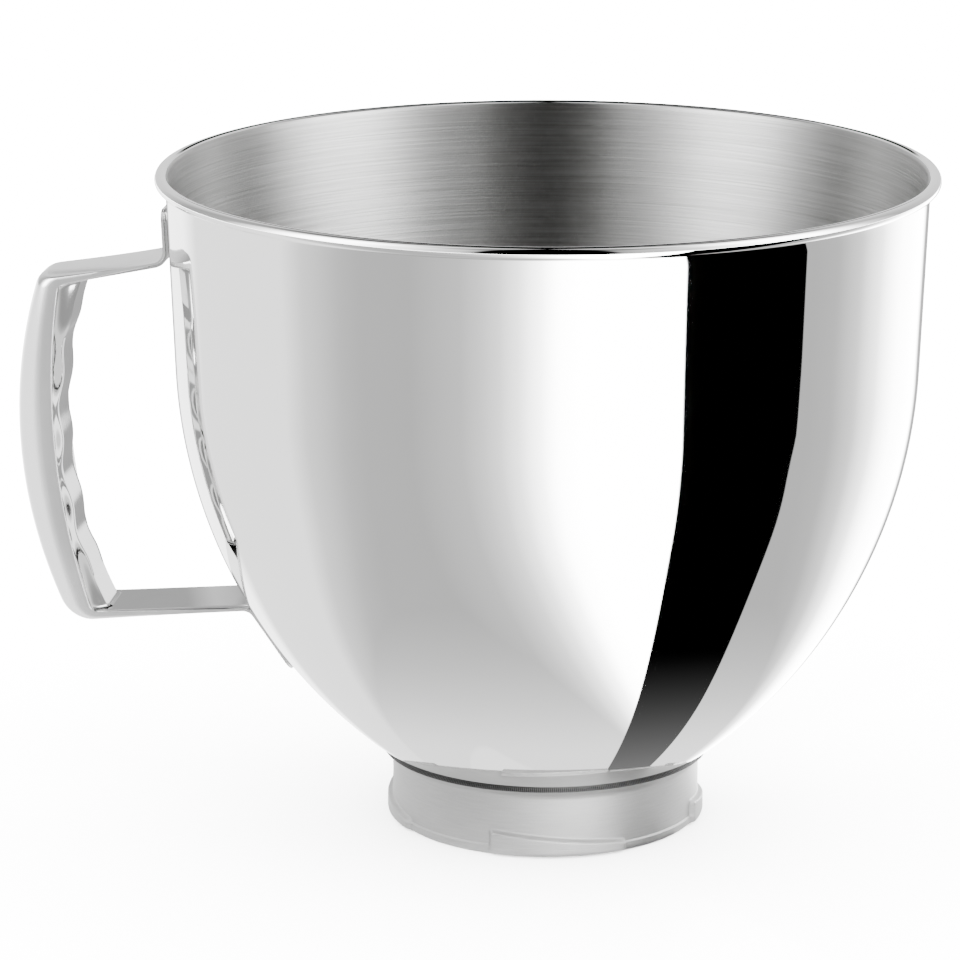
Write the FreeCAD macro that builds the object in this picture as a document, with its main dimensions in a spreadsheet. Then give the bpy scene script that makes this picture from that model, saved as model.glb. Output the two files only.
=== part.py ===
import FreeCAD, Part
import math
import os
import Sketcher

# Stand mixer bowl: a drawn steel bowl with a curled rim, a pressed foot with four
# bayonet ramps, and a handle of two pressed shells nested in each other and spot
# welded to the wall. +Z is up, the origin is the centre of the foot's lower face,
# and the handle points along -X. Lengths are millimetres and angles are degrees.

doc = FreeCAD.newDocument("stand_mixer_bowl")
sheet = doc.addObject("Spreadsheet::Sheet", "sizes")
sheet.Label = "sizes"

driving_sizes = {
    # bowl shell, from the axis outwards and up to the rim
    "bottom_height": (9.4, "underside of the bottom above the table"),
    "bowl_wall": (0.8, "steel sheet of the bowl"),
    "dimple_radius": (13.0, "foot of the raised centre of the bottom"),
    "dimple_height": (3.4, "rise of the raised centre"),
    "bottom_flat": (2.9, "level stretch round the raised centre"),
    "bottom_curve_radius": (46.0, "outside of the tighter curve at the bottom"),
    "bottom_curve_angle": (33.86, "turn of the tighter curve, up from level"),
    "wall_curve_radius": (150.0, "outside of the big curve"),
    "wall_draft": (2.2, "lean of the upper wall from vertical"),
    "wall_height": (56.1, "straight wall, up to the bead's centre"),
    "bead_radius": (1.9, "outside of the curled bead"),
    "curl_gap_angle": (65.0, "from straight inward to the curl's free end, below the bead"),
    # base ring
    "foot_radius": (45.3, "outside of the upright foot wall"),
    "foot_wall": (0.9, "steel sheet of the foot"),
    "foot_lip_width": (5.0, "turned-in lip that stands on the table"),
    "foot_bend_radius": (1.8, "outside of the bend above the lip"),
    "band_height": (2.8, "top of the wider band at the bottom"),
    "band_step": (0.45, "how far the band stands out from the wall"),
    "flare_radius": (2.4, "outside of the bend under the bowl"),
    "flange_reach": (2.3, "how far the flange on the bowl stands out from the wall"),
    "weld_gap": (0.02, "clearance between welded sheets"),
    # bayonet ramps
    "ramp_count": (4, "ramps round the foot"),
    "ramp_span": (52.0, "length of a ramp round the foot"),
    "ramp_reach": (1.6, "how far a ramp stands out from the wall"),
    "ramp_base": (0.5, "lower side of a ramp above the table"),
    "ramp_high": (8.3, "high end above the table"),
    "ramp_low": (4.3, "low end above the table"),
    "ramp_bevel": (1.3, "slope round the edge of a ramp"),
    "ramp_corner": (2.0, "rounded corners of a ramp"),
    "ramp_phase": (11.0, "from the handle to the middle of the next ramp"),
    # handle, seen from the side
    "handle_width": (24.0, "across the strap"),
    "handle_wall": (0.8, "steel sheet of each shell"),
    "upper_arm_drop": (31.1, "top of the upper arm's middle below the rim"),
    "upper_arm_slope": (7.2, "fall of the upper arm away from the bowl"),
    "upper_tab_length": (18.1, "end of the upper tab above the arm's middle"),
    "lower_tab_angle": (34.5, "lean of the lower tab, where it touches the big curve"),
    "lower_tab_length": (15.0, "from that touching point to the end"),
    "lower_arm_drop": (0.4, "underside of the lower arm's middle below that point"),
    "lower_arm_slope": (6.8, "rise of the lower arm towards the bowl"),
    "tab_corner": (3.0, "rounded corners of both tabs"),
    "tab_bend_radius": (3.5, "concave side of the bends into the tabs"),
    "grip_stand_off": (48.2, "back of the grip from the foot of the straight wall"),
    "grip_back_radius": (137.0, "bow of the grip's back"),
    "grip_back_rise": (6.9, "middle of that bow above the middle of the arms"),
    "grip_depth": (11.6, "back of the grip to the outer shell's edge"),
    "edge_radius": (209.5, "bow of that edge"),
    "edge_rise": (15.4, "middle of the edge's bow above the middle of the arms"),
    "top_corner_radius": (4.5, "outside corner of the upper arm and the grip"),
    "low_corner_radius": (10.0, "outside corner of the lower arm and the grip"),
    "inside_corner_radius": (2.5, "corners on the finger side"),
    # handle, in section
    "round_share": (0.72, "part of the grip's depth taken by its rounded back"),
    "back_flat": (6.0, "level middle of the grip's back"),
    "arm_round": (2.4, "rounding of the arms at the corners"),
    "arm_depth": (4.9, "outer shell's sides where the arms meet the grip"),
    "nest_gap": (0.1, "clearance between the shells' sides"),
    "nest_recess": (0.3, "inner shell below the outer shell's edge"),
    # finger grip of the inner shell
    "pad_margin": (4.6, "from the strap's side to the flat face of the finger grip"),
    "pad_rise": (1.4, "finger grip above the outer shell's edge"),
    "pad_radius": (128.0, "bow of the finger grip"),
    "finger_count": (4, "hollows for the fingers"),
    "finger_row": (76.8, "length of the row of hollows"),
    "finger_rise": (0.8, "middle of the row above the middle of the arms"),
    "finger_depth": (1.1, "depth of a hollow"),
    # spot welds
    "spot_diameter": (4.4, "dent left by a spot weld"),
    "spot_depth": (0.25, "depth of a dent"),
    "spot_spacing": (11.0, "between the two dents of a tab"),
    "spot_inset": (5.2, "from a tab's end to its dents"),
}

# sizes that follow from the ones above: places of arcs, and of what sits on what
derived_sizes = {
    "bottom_curve_r": "=dimple_radius + bottom_flat",
    "curve_change": "=wall_curve_radius - bottom_curve_radius",
    "curve_centre_r": "=bottom_curve_r - curve_change * sin(bottom_curve_angle)",
    "curve_centre_z": "=bottom_height + bottom_curve_radius + curve_change * cos(bottom_curve_angle)",
    "wall_start_r": "=curve_centre_r + wall_curve_radius * cos(wall_draft)",
    "wall_start_z": "=curve_centre_z - wall_curve_radius * sin(wall_draft)",
    "curl_inner_radius": "=bead_radius - bowl_wall",
    "bead_centre_r": "=wall_start_r + wall_height * tan(wall_draft) + curl_inner_radius / cos(wall_draft)",
    "bead_centre_z": "=wall_start_z + wall_height",
    "rim_height": "=bead_centre_z + bead_radius",
    "band_radius": "=foot_radius + band_step",
    "band_shoulder": "=band_height + band_step",
    "seat_radius": "=foot_radius + flange_reach",
    "seat_curve": "=wall_curve_radius + weld_gap",
    "seat_angle": "=acos((seat_radius - curve_centre_r) / seat_curve) / 1 deg",
    "seat_height": "=curve_centre_z - seat_curve * sin(seat_angle)",
    "ramp_radius": "=foot_radius + ramp_reach",
    "touching_r": "=curve_centre_r + wall_curve_radius * cos(lower_tab_angle)",
    "touching_height": "=curve_centre_z - wall_curve_radius * sin(lower_tab_angle)",
    "upper_arm_height": "=rim_height - upper_arm_drop",
    "lower_arm_height": "=touching_height - lower_arm_drop",
    "arms_middle": "=(upper_arm_height + lower_arm_height) / 2",
    "tab_top_height": "=upper_arm_height + upper_tab_length",
    "grip_reach": "=wall_start_r + grip_stand_off",
    "edge_reach": "=grip_reach - grip_depth",
    "pad_reach": "=edge_reach - pad_rise",
    "sheet_stack": "=2 * handle_wall + weld_gap",
}

rows = [(name, str(value), note) for name, (value, note) in driving_sizes.items()]
rows += [(name, rule, "follows the sizes above") for name, rule in derived_sizes.items()]
for row, (name, content, note) in enumerate(rows, start=1):
    sheet.set(f"A{row}", note)
    sheet.set(f"B{row}", content)
    sheet.setAlias(f"B{row}", name)
doc.recompute()


def size(name):
    """Value of one size of the sheet."""
    value = sheet.get(name)
    return float(getattr(value, "Value", value))


def cos(angle):
    return math.cos(math.radians(angle))


def sin(angle):
    return math.sin(math.radians(angle))


def tan(angle):
    return math.tan(math.radians(angle))


def on_circle(centre, radius, angle):
    """Point of a circle at an angle from straight outwards."""
    return (centre[0] + radius * cos(angle), centre[1] + radius * sin(angle))


curve_centre = (size("curve_centre_r"), size("curve_centre_z"))
draft = size("wall_draft")


def wall_radius_at(height):
    """Outside radius of the straight wall at a height."""
    return size("wall_start_r") + (height - size("wall_start_z")) * tan(draft)


# ---------------------------------------------------------------- profile sketches


class Profile:
    """Closed sketch in a body's XZ plane, drawn as a chain of lines and arcs."""

    def __init__(self, body, name):
        self.sketch = body.newObject("Sketcher::SketchObject", name)
        plane = next(p for p in body.Origin.OriginFeatures if p.Role == "XZ_Plane")
        self.sketch.AttachmentSupport = [(plane, "")]
        self.sketch.MapMode = "FlatFace"
        self.pieces = []

    def line(self, start, end, smooth=False):
        """Add a line; smooth joins it tangentially to the piece before it."""
        shape = Part.LineSegment(FreeCAD.Vector(*start, 0), FreeCAD.Vector(*end, 0))
        return self._add(shape, 1, 2, smooth)

    def arc(self, centre, radius, start, end, smooth=True):
        """Add an arc from angle start to angle end; end below start runs clockwise."""
        low, high = min(start, end), max(start, end)
        circle = Part.Circle(FreeCAD.Vector(*centre, 0), FreeCAD.Vector(0, 0, 1), radius)
        shape = Part.ArcOfCircle(circle, math.radians(low), math.radians(high))
        if end > start:
            return self._add(shape, 1, 2, smooth)
        return self._add(shape, 2, 1, smooth)

    def _add(self, shape, head, tail, smooth):
        index = self.sketch.addGeometry(shape, False)
        if self.pieces:
            before, before_tail = self.pieces[-1][0], self.pieces[-1][2]
            self.fix("Tangent" if smooth else "Coincident", before, before_tail, index, head)
        self.pieces.append((index, head, tail))
        return index

    def close(self):
        """Join the last piece to the first one."""
        first, last = self.pieces[0], self.pieces[-1]
        self.fix("Coincident", last[0], last[2], first[0], first[1])

    def fix(self, kind, *where):
        """Add a constraint without a size."""
        self.sketch.addConstraint(Sketcher.Constraint(kind, *where))

    def bind(self, kind, *where, value, rule):
        """Add a size that follows the sheet."""
        number = self.sketch.addConstraint(Sketcher.Constraint(kind, *where, value))
        self.sketch.setExpression(f"Constraints[{number}]", rule)

    def place_x(self, where, point, value, rule):
        """Set the distance of a point from the axis of turning."""
        self.bind("DistanceX", -1, 1, where, point, value=value, rule=rule)

    def place_z(self, where, point, value, rule):
        """Set the height of a point."""
        self.bind("DistanceY", -1, 1, where, point, value=value, rule=rule)


def revolve(body, profile, name):
    """Turn a profile right round the Z axis."""
    turned = body.newObject("PartDesign::Revolution", name)
    turned.Profile = profile.sketch
    turned.ReferenceAxis = (profile.sketch, ["V_Axis"])
    turned.Angle = 360
    return turned


# ---------------------------------------------------------------- bowl shell


def make_bowl_shell():
    """Drawn bowl: raised centre, round bottom, leaning wall and curled rim."""
    wall = size("bowl_wall")
    bottom = size("bottom_height")
    bead, curl = size("bead_radius"), size("curl_inner_radius")
    bead_centre = (size("bead_centre_r"), size("bead_centre_z"))
    curl_end = 180 + size("curl_gap_angle")

    # raised centre: two equal arcs that meet at one slope
    rise, foot = size("dimple_height"), size("dimple_radius")
    slope = 2 * math.degrees(math.atan(rise / foot))
    bow = foot / sin(slope) / 2
    crown_centre = (0.0, bottom + rise - bow)
    hollow_centre = (foot, bottom + bow)

    # bottom curve, which turns up from level until the big curve goes on
    tight, big = size("bottom_curve_radius"), size("wall_curve_radius")
    tight_centre = (size("bottom_curve_r"), bottom + tight)
    change = size("bottom_curve_angle") - 90

    body = doc.addObject("PartDesign::Body", "bowl_shell")
    draw = Profile(body, "bowl_section")
    outer_crown = draw.arc(crown_centre, bow, 90, 90 - slope)
    outer_hollow = draw.arc(hollow_centre, bow, 270 - slope, 270)
    outer_flat = draw.line((foot, bottom), (tight_centre[0], bottom), smooth=True)
    outer_tight = draw.arc(tight_centre, tight, -90, change)
    outer_curve = draw.arc(curve_centre, big, change, -draft)
    outer_wall = draw.line(
        on_circle(curve_centre, big, -draft),
        on_circle(bead_centre, curl, 180 - draft),
        smooth=True,
    )
    curl_inside = draw.arc(bead_centre, curl, 180 - draft, curl_end - 360)
    curl_edge = draw.line(
        on_circle(bead_centre, curl, curl_end), on_circle(bead_centre, bead, curl_end)
    )
    curl_outside = draw.arc(bead_centre, bead, curl_end - 360, 180 - draft, smooth=False)
    draw.line(
        on_circle(bead_centre, bead, 180 - draft),
        on_circle(curve_centre, big - wall, -draft),
        smooth=True,
    )
    inner_curve = draw.arc(curve_centre, big - wall, -draft, change)
    inner_tight = draw.arc(tight_centre, tight - wall, change, -90)
    inner_flat = draw.line(
        (tight_centre[0], bottom + wall), (foot, bottom + wall), smooth=True
    )
    inner_hollow = draw.arc(hollow_centre, bow - wall, 270, 270 - slope)
    inner_crown = draw.arc(crown_centre, bow + wall, 90 - slope, 90)
    axis_line = draw.line((0, bottom + rise + wall), (0, bottom + rise))
    draw.close()
    change_line = draw.sketch.addGeometry(
        Part.LineSegment(
            FreeCAD.Vector(*tight_centre, 0),
            FreeCAD.Vector(*on_circle(tight_centre, tight, change), 0),
        ),
        True,
    )

    draw.fix("Horizontal", outer_flat)
    draw.fix("Horizontal", inner_flat)
    draw.fix("PointOnObject", axis_line, 1, -2)
    draw.fix("PointOnObject", axis_line, 2, -2)
    draw.fix("PointOnObject", outer_crown, 3, -2)
    draw.fix("Equal", outer_crown, outer_hollow)
    draw.fix("Coincident", inner_crown, 3, outer_crown, 3)
    draw.fix("Coincident", inner_hollow, 3, outer_hollow, 3)
    draw.fix("Coincident", inner_tight, 3, outer_tight, 3)
    draw.fix("Coincident", inner_curve, 3, outer_curve, 3)
    draw.fix("Coincident", curl_outside, 3, curl_inside, 3)
    draw.fix("PointOnObject", curl_inside, 3, curl_edge)
    draw.fix("Coincident", change_line, 1, outer_tight, 3)
    draw.fix("Coincident", change_line, 2, outer_tight, 2)

    draw.place_z(outer_flat, 1, bottom, "sizes.bottom_height")
    draw.place_x(outer_flat, 1, foot, "sizes.dimple_radius")
    draw.bind("DistanceY", outer_flat, 1, axis_line, 2, value=rise, rule="sizes.dimple_height")
    draw.bind("DistanceY", axis_line, 2, axis_line, 1, value=wall, rule="sizes.bowl_wall")
    draw.place_x(outer_tight, 3, tight_centre[0], "sizes.bottom_curve_r")
    draw.bind("Radius", outer_tight, value=tight, rule="sizes.bottom_curve_radius")
    draw.bind(
        "Angle", change_line, value=math.radians(change), rule="sizes.bottom_curve_angle - 90"
    )
    draw.bind("Radius", outer_curve, value=big, rule="sizes.wall_curve_radius")
    draw.bind(
        "Angle", outer_wall, value=math.radians(90 - draft), rule="90 - sizes.wall_draft"
    )
    draw.place_z(curl_inside, 3, bead_centre[1], "sizes.bead_centre_z")
    draw.bind("Radius", curl_inside, value=curl, rule="sizes.curl_inner_radius")
    draw.bind("Radius", curl_outside, value=bead, rule="sizes.bead_radius")
    draw.bind(
        "Angle", curl_edge, value=math.radians(curl_end), rule="180 + sizes.curl_gap_angle"
    )
    revolve(body, draw, "bowl_turned")
    return body


# ---------------------------------------------------------------- base ring


def make_ring_wall():
    """Foot without its ramps: lip, band, upright wall and a flange on the bowl."""
    wall, outside = size("foot_wall"), size("foot_radius")
    bend = size("foot_bend_radius")
    band, shoulder = size("band_radius"), size("band_shoulder")
    band_top = size("band_height")
    lip_inside = band - bend - size("foot_lip_width")
    flare = size("flare_radius")

    # the flange's outer edge lies on the bowl, a weld's gap below it
    lean = size("seat_angle")
    tip = (size("seat_radius"), size("seat_height"))
    low_tip = on_circle(tip, wall, -lean)
    flare_centre_r = outside + flare
    along = (low_tip[0] - flare_centre_r + flare * cos(lean)) / sin(lean)
    low_start = (low_tip[0] - along * sin(lean), low_tip[1] - along * cos(lean))
    flare_centre = on_circle(low_start, flare, -lean)
    start = on_circle(low_start, -wall, -lean)

    body = doc.addObject("PartDesign::Body", "ring_wall")
    draw = Profile(body, "ring_section")
    lip_under = draw.line((lip_inside, 0), (band - bend, 0))
    outer_bend = draw.arc((band - bend, bend), bend, -90, 0)
    outer_band = draw.line((band, bend), (band, band_top), smooth=True)
    draw.line((band, band_top), (outside, shoulder))
    outer_face = draw.line((outside, shoulder), (outside, flare_centre[1]))
    outer_flare = draw.arc(flare_centre, flare, 180, 180 - lean)
    flange_under = draw.line(low_start, low_tip, smooth=True)
    flange_edge = draw.line(low_tip, tip)
    flange_top = draw.line(tip, start)
    inner_flare = draw.arc(flare_centre, flare + wall, 180 - lean, 180)
    inner_face = draw.line((outside - wall, flare_centre[1]), (outside - wall, shoulder), smooth=True)
    draw.line((outside - wall, shoulder), (band - wall, band_top))
    inner_band = draw.line((band - wall, band_top), (band - wall, bend))
    inner_bend = draw.arc((band - bend, bend), bend - wall, 0, -90)
    lip_top = draw.line((band - bend, wall), (lip_inside, wall), smooth=True)
    lip_edge = draw.line((lip_inside, wall), (lip_inside, 0))
    draw.close()

    draw.fix("PointOnObject", lip_under, 1, -1)
    draw.fix("Horizontal", lip_under)
    draw.fix("Horizontal", lip_top)
    draw.fix("Vertical", lip_edge)
    draw.fix("Vertical", outer_band)
    draw.fix("Vertical", outer_face)
    draw.fix("Vertical", inner_face)
    draw.fix("Vertical", inner_band)
    draw.fix("Perpendicular", flange_edge, flange_under)
    draw.fix("Parallel", flange_top, flange_under)
    draw.fix("Coincident", inner_flare, 3, outer_flare, 3)
    draw.fix("Coincident", inner_bend, 3, outer_bend, 3)

    draw.place_x(outer_band, 2, band, "sizes.band_radius")
    draw.place_z(outer_band, 2, band_top, "sizes.band_height")
    draw.bind("Radius", outer_bend, value=bend, rule="sizes.foot_bend_radius")
    draw.bind(
        "DistanceX", lip_under, 1, lip_under, 2,
        value=size("foot_lip_width"), rule="sizes.foot_lip_width",
    )
    draw.place_x(outer_face, 1, outside, "sizes.foot_radius")
    draw.place_z(outer_face, 1, shoulder, "sizes.band_shoulder")
    draw.bind("Radius", outer_flare, value=flare, rule="sizes.flare_radius")
    draw.bind(
        "Angle", flange_under, value=math.radians(90 - lean), rule="90 - sizes.seat_angle"
    )
    draw.bind("Distance", flange_edge, value=wall, rule="sizes.foot_wall")
    draw.place_x(flange_edge, 2, tip[0], "sizes.seat_radius")
    draw.place_z(flange_edge, 2, tip[1], "sizes.seat_height")
    draw.place_z(inner_face, 2, shoulder, "sizes.band_shoulder")
    draw.place_x(inner_band, 1, band - wall, "sizes.band_radius - sizes.foot_wall")
    draw.place_z(inner_band, 1, band_top, "sizes.band_height")
    revolve(body, draw, "ring_turned")
    return body


def ramp_form(inset):
    """Solid of one bayonet ramp round -Y: its elevation cut out of a round band.

    inset draws it smaller all round, for the hollow behind the ramp's sheet."""
    reach = size("ramp_radius") - inset
    half = size("ramp_radius") * sin(size("ramp_span") / 2) - inset
    low = size("ramp_base") + inset
    corners = [
        (-half, low), (half, low), (half, size("ramp_low") - inset), (-half, size("ramp_high") - inset)
    ]
    points = [FreeCAD.Vector(x, -1.1 * reach, z) for x, z in corners]
    elevation = Part.Face(Part.makePolygon(points + points[:1]))
    block = elevation.extrude(FreeCAD.Vector(0, reach / 2, 0))
    upright = [e for e in block.Edges if abs(e.tangentAt(e.FirstParameter).y) > 0.99]
    top = [e for e in upright if e.CenterOfMass.z > low + 0.1]
    block = block.makeFillet(max(size("ramp_corner") - inset, size("ramp_corner") / 5), top)
    ramp = block.common(Part.makeCylinder(reach, 2 * size("ramp_high")))
    face_edges = []
    for edge in ramp.Edges:
        middle = edge.valueAt((edge.FirstParameter + edge.LastParameter) / 2)
        if abs(math.hypot(middle.x, middle.y) - reach) < 0.01:
            face_edges.append(edge)
    # a bevel of the sheet's inside is narrower than the one outside it
    return ramp.makeChamfer(size("ramp_bevel") - inset * (2 - math.sqrt(2)), face_edges)


def make_base_ring():
    """Foot with its ramps pressed out of the sheet, hollow behind."""
    ring = make_ring_wall()
    count = round(size("ramp_count"))
    turns = [size("ramp_phase") - 90 + 360 * n / count for n in range(count)]

    def pattern(name, shape):
        feature = doc.addObject("Part::Feature", name)
        axis = FreeCAD.Vector(0, 0, 1)
        copies = [shape.rotated(FreeCAD.Vector(), axis, turn) for turn in turns]
        feature.Shape = Part.makeCompound(copies)
        return feature

    core = Part.makeCylinder(size("foot_radius") - size("foot_wall") / 2, 2 * size("ramp_high"))
    forms = pattern("ramp_forms", ramp_form(0.0).cut(core))
    hollows = pattern("ramp_hollows", ramp_form(size("foot_wall")))
    pressed = doc.addObject("Part::Fuse", "ring_with_ramps")
    pressed.Base, pressed.Tool = ring, forms
    opened = doc.addObject("Part::Cut", "base_ring")
    opened.Base, opened.Tool = pressed, hollows
    pressed.Refine = opened.Refine = True
    return opened


# ---------------------------------------------------------------- handle, from the side
# Points are (u, z): u is the distance from the bowl's axis towards the grip. A depth
# is measured from the handle's outside into the sheet, towards the fingers.


def unit(vector):
    length = math.hypot(*vector)
    return (vector[0] / length, vector[1] / length)


def shift(point, direction, distance):
    return (point[0] + direction[0] * distance, point[1] + direction[1] * distance)


class Line:
    """Line through a point, with the side on which the fingers are."""

    def __init__(self, point, direction, inward):
        self.point, self.direction = point, unit(direction)
        normal = (-self.direction[1], self.direction[0])
        if normal[0] * inward[0] + normal[1] * inward[1] < 0:
            normal = (-normal[0], -normal[1])
        self.inward = normal

    def deeper(self, depth):
        """The same line, moved into the sheet."""
        return Line(shift(self.point, self.inward, depth), self.direction, self.inward)

    def meet(self, other):
        """Point where two lines cross."""
        (px, pz), (dx, dz) = self.point, self.direction
        (qx, qz), (ex, ez) = other.point, other.direction
        t = ((qx - px) * ez - (qz - pz) * ex) / (dx * ez - dz * ex)
        return (px + t * dx, pz + t * dz)

    def foot(self, point):
        """Nearest point of the line."""
        t = (point[0] - self.point[0]) * self.direction[0]
        t += (point[1] - self.point[1]) * self.direction[1]
        return shift(self.point, self.direction, t)


def slanted(start, start_depth, end, end_depth, base):
    """Line whose depth below a base line grows from start to end."""
    a = shift(base.foot(start), base.inward, start_depth)
    b = shift(base.foot(end), base.inward, end_depth)
    return Line(a, (b[0] - a[0], b[1] - a[1]), base.inward)


handle_wall = size("handle_wall")
stack = size("sheet_stack")
arm_middle = (size("wall_start_r") + size("grip_reach")) / 2

tab_foot = wall_radius_at(size("upper_arm_height"))
upper_tab = Line((tab_foot, size("upper_arm_height")), (sin(draft), cos(draft)), (-1, 0))
upper_tab = upper_tab.deeper(-stack - size("weld_gap"))
upper_arm = Line(
    (arm_middle, size("upper_arm_height")),
    (cos(size("upper_arm_slope")), -sin(size("upper_arm_slope"))),
    (0, -1),
)
lower_arm = Line(
    (arm_middle, size("lower_arm_height")),
    (cos(size("lower_arm_slope")), -sin(size("lower_arm_slope"))),
    (0, 1),
)
lean_angle = size("lower_tab_angle")
touching_point = (size("touching_r"), size("touching_height"))
lower_tab = Line(touching_point, (sin(lean_angle), cos(lean_angle)), (-1, 0))
lower_tab = lower_tab.deeper(-stack - size("weld_gap"))

grip_centre = (
    size("grip_reach") - size("grip_back_radius"), size("arms_middle") + size("grip_back_rise")
)
edge_centre = (size("edge_reach") - size("edge_radius"), size("arms_middle") + size("edge_rise"))
pad_centre = (size("pad_reach") - size("pad_radius"), grip_centre[1])

upper_tip = shift(
    upper_tab.point, upper_tab.direction,
    (size("tab_top_height") - upper_tab.point[1]) / upper_tab.direction[1],
)
lower_tip = shift(lower_tab.point, lower_tab.direction, -size("lower_tab_length"))
bend_length = 2 * size("tab_bend_radius")
upper_bend_end = shift(upper_tab.meet(upper_arm), upper_arm.direction, bend_length)
lower_bend_end = shift(lower_tab.meet(lower_arm), lower_arm.direction, bend_length)
upper_corner = (size("grip_reach"), size("upper_arm_height"))
lower_corner = (size("grip_reach"), size("lower_arm_height"))


def round_lines(first, second, radius, towards):
    """Arc between two lines: start, middle, end and centre, centred on one side."""
    sides = []
    for line in (first, second):
        dot = line.inward[0] * towards[0] + line.inward[1] * towards[1]
        sides.append(line.deeper(radius if dot > 0 else -radius))
    centre = sides[0].meet(sides[1])
    start, end = first.foot(centre), second.foot(centre)
    return centre, start, end


def round_to_bow(line, bow_centre, bow_radius, radius, upper):
    """Arc between an arm's line and the inside of a bow of the grip."""
    inner = line.deeper(radius)
    reach = bow_radius - radius
    base = inner.foot(bow_centre)
    gap = math.hypot(base[0] - bow_centre[0], base[1] - bow_centre[1])
    step = math.sqrt(reach**2 - gap**2)
    centre = shift(base, inner.direction, step)
    outward = unit((centre[0] - bow_centre[0], centre[1] - bow_centre[1]))
    return centre, line.foot(centre), shift(bow_centre, outward, bow_radius)


def handle_chain(tab_depth, arm_start, arm_end, bow, corners, fingers=0.0):
    """Edges of one side view of the handle from the upper tip to the lower tip.

    bow is (centre, radius) of the grip and corners the two corner radii. fingers
    is the depth of the hollows, or nothing for a plain bow."""
    bow_centre, bow_radius = bow
    tab_a, tab_b = upper_tab.deeper(tab_depth), lower_tab.deeper(tab_depth)
    arm_a = slanted(upper_bend_end, arm_start, upper_corner, arm_end, upper_arm)
    arm_b = slanted(lower_bend_end, arm_start, lower_corner, arm_end, lower_arm)
    bend = size("tab_bend_radius") + tab_depth
    centre_1, p1, p2 = round_lines(tab_a, arm_a, bend, (0.7, 0.7))
    centre_2, p3, p4 = round_to_bow(arm_a, bow_centre, bow_radius, corners[0], True)
    centre_3, p6, p5 = round_to_bow(arm_b, bow_centre, bow_radius, corners[1], False)
    centre_4, p8, p7 = round_lines(tab_b, arm_b, bend, (0.7, -0.7))

    def vector(point):
        return FreeCAD.Vector(-point[0], 0, point[1])

    def straight(a, b):
        return Part.LineSegment(vector(a), vector(b)).toShape()

    def arc(centre, a, b):
        middle = unit(((a[0] + b[0]) / 2 - centre[0], (a[1] + b[1]) / 2 - centre[1]))
        radius = math.hypot(a[0] - centre[0], a[1] - centre[1])
        through = shift(centre, middle, radius)
        return Part.Arc(vector(a), vector(through), vector(b)).toShape()

    grip = arc(bow_centre, p4, p5)
    if fingers:
        grip = finger_curve(bow_centre, bow_radius, p4, p5, fingers, vector)
    return [
        straight(tab_a.foot(upper_tip), p1),
        arc(centre_1, p1, p2),
        straight(p2, p3),
        arc(centre_2, p3, p4),
        grip,
        arc(centre_3, p5, p6),
        straight(p6, p7),
        arc(centre_4, p7, p8),
        straight(p8, tab_b.foot(lower_tip)),
    ]


def finger_curve(bow_centre, bow_radius, start, end, depth, vector):
    """Bow of the grip with hollows for the fingers, half a depth to each side."""
    count = round(size("finger_count"))
    half_pitch = size("finger_row") / count / 2
    top = size("arms_middle") + size("finger_rise") + size("finger_row") / 2
    points = [start]
    for half_step in range(2 * count + 1):
        height = top - half_step * half_pitch
        side = 1 if half_step % 2 else -1
        angle = math.asin((height - bow_centre[1]) / bow_radius)
        reach = bow_radius + side * depth / 2
        points.append(
            (bow_centre[0] + reach * math.cos(angle), bow_centre[1] + reach * math.sin(angle))
        )
    points.append(end)
    heads = []
    for point in (start, end):
        out = unit((point[0] - bow_centre[0], point[1] - bow_centre[1]))
        heads.append(vector((out[1], -out[0])))
    curve = Part.BSplineCurve()
    curve.interpolate(
        Points=[vector(p) for p in points], InitialTangent=heads[0], FinalTangent=heads[1]
    )
    return curve.toShape()


def side_wire(outer, inner, offset):
    """Closed wire between two chains of the handle, moved along Y."""
    first, last = outer[0].Vertexes[0].Point, outer[-1].Vertexes[-1].Point
    inner_first, inner_last = inner[0].Vertexes[0].Point, inner[-1].Vertexes[-1].Point
    edges = list(outer)
    edges.append(Part.LineSegment(last, inner_last).toShape())
    edges += [edge.reversed() for edge in reversed(inner)]
    edges.append(Part.LineSegment(inner_first, first).toShape())
    wire = Part.Wire(edges)
    wire.translate(FreeCAD.Vector(0, offset, 0))
    return wire


def loft_across(wire_at, half_width, flat):
    """Solid across the strap: level up to flat, then curving in to its edges.

    wire_at gives the side view for a place along Y and how far, 0 to 1, the back
    has curved in there."""
    steps = [0.0, 18.0, 36.0, 54.0, 72.0, 90.0]
    side = [(flat + (half_width - flat) * sin(a), 1 - cos(a)) for a in steps]
    level = Part.makeLoft([wire_at(-flat, 0.0), wire_at(flat, 0.0)], True, True)
    right = Part.makeLoft([wire_at(y, c) for y, c in side], True, False)
    left = right.mirror(FreeCAD.Vector(), FreeCAD.Vector(0, 1, 0))
    return level.fuse([left, right])


def round_tab_corners(shape, half_width):
    """Round the four corners at the tabs' ends."""
    radius = size("tab_corner")
    beyond = radius + handle_wall
    for line, tip, way in ((upper_tab, upper_tip, -1), (lower_tab, lower_tip, 1)):
        centre = shift(tip, line.direction, way * radius)
        into = FreeCAD.Vector(-line.inward[0], 0, line.inward[1])
        along = FreeCAD.Vector(way * line.direction[0], 0, -way * line.direction[1])
        for side in (-1, 1):
            place = FreeCAD.Vector(-centre[0], side * (half_width - radius), centre[1])
            place -= into * handle_wall
            across = FreeCAD.Vector(0, side, 0)
            reaches = ((0, 0), (1, 0), (1, 1), (0, 1), (0, 0))
            points = [place + across * beyond * i + along * beyond * j for i, j in reaches]
            corner = Part.Face(Part.makePolygon(points)).extrude(into * 2 * stack)
            rounding = Part.makeCylinder(radius, 2 * stack, place, into)
            shape = shape.cut(corner.cut(rounding))
    return shape


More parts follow.
